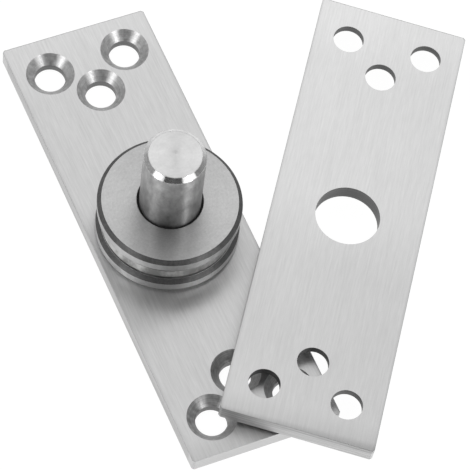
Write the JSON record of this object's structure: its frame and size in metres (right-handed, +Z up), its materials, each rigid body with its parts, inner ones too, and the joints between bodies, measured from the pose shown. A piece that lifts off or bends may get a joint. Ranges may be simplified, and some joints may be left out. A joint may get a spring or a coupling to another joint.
{
  "type": "pivot hinge",
  "caption": "Heavy door pivot hinge: drilled steel base plate with a fixed pin and thrust ball bearing, and a matching drilled door plate lifted off and leaning beside it.",
  "frame": {"origin": "on the pin's axis at the base plate's underside", "axes": "+Z up the pin, +Y along the base plate, +X across it towards the door plate that lies beside it"},
  "size_m": [0.0884, 0.1084, 0.0316],
  "materials": {
    "plate_steel": "brushed along the length",
    "pin_steel": "turned",
    "bearing_steel": "ground",
    "cage_steel": "pressed",
    "ball_steel": "polished"
  },
  "bodies": {
    "base": {"base_plate": "plate_steel", "pivot_pin": "pin_steel", "lower_washer": "bearing_steel", "door_plate": "plate_steel"},
    "cage": {"ball_cage": "cage_steel", "ball_1": "ball_steel", "ball_2": "ball_steel", "ball_3": "ball_steel", "ball_4": "ball_steel", "ball_5": "ball_steel", "ball_6": "ball_steel", "ball_7": "ball_steel", "ball_8": "ball_steel", "ball_9": "ball_steel", "ball_10": "ball_steel", "ball_11": "ball_steel"},
    "turning_washer": {"upper_washer": "bearing_steel"}
  },
  "joints": [
    {"name": "washer_turn", "type": "hinge", "parent": "base", "child": "turning_washer", "pos_m": [0, 0, 0.0144], "axis": [0, 0, 1], "continuous": true},
    {"name": "cage_turn", "type": "hinge", "parent": "base", "child": "cage", "pos_m": [0, 0, 0.0089], "axis": [0, 0, 1], "continuous": true}
  ],
  "couplings": [
    {"joint": "cage_turn", "follows": "washer_turn", "ratio": 0.5}
  ]
}
